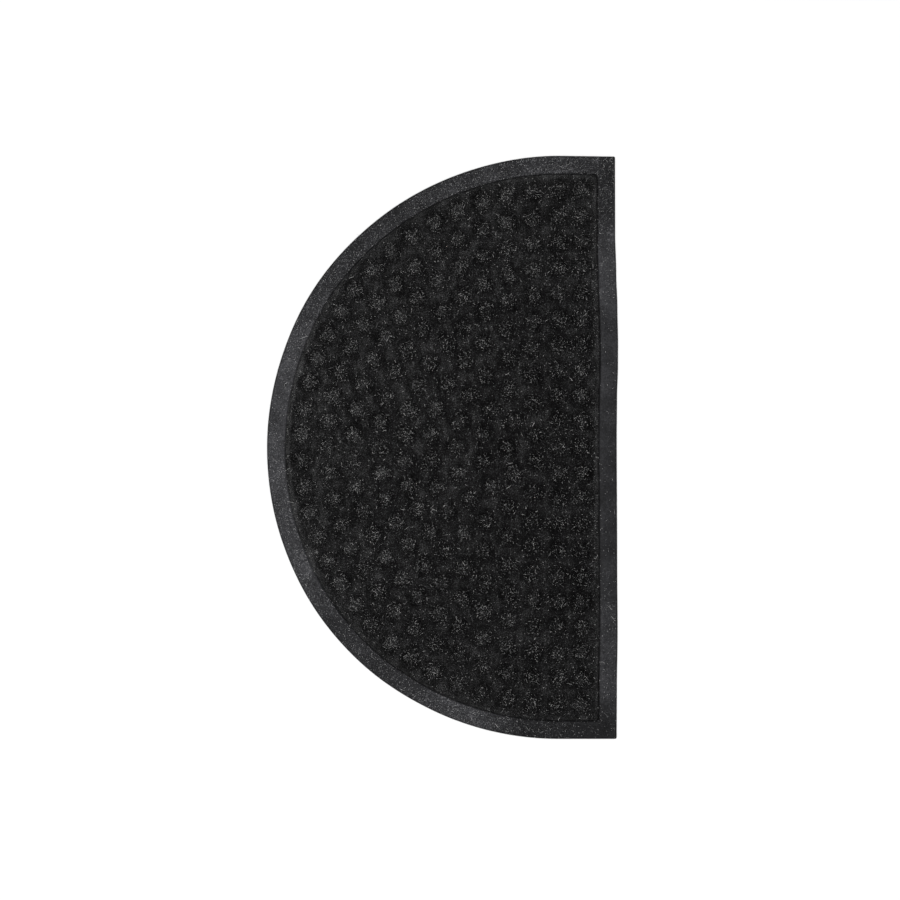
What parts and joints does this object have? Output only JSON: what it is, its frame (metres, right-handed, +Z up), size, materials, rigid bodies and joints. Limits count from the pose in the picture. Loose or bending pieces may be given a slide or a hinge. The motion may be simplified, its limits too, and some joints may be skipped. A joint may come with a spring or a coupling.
{
  "type": "half-round doormat",
  "caption": "Half-round entrance doormat: dark rubber base with a bevelled border round a black fibre face moulded with rings of low round domes.",
  "frame": {"origin": "middle of the mat's bounding box, on the floor plane", "axes": "+X towards the flat side, which lies against the door sill, with the arc towards -X; +Y along the long side; +Z up"},
  "size_m": [0.4514, 0.75, 0.0078],
  "materials": {
    "rubber": "matte charcoal crumb rubber with fine pale flecks",
    "fibre": "black needle felt with glinting fibre tips"
  },
  "bodies": {
    "root": {"rubber_base": "rubber", "fibre_face": "fibre"}
  },
  "joints": []
}
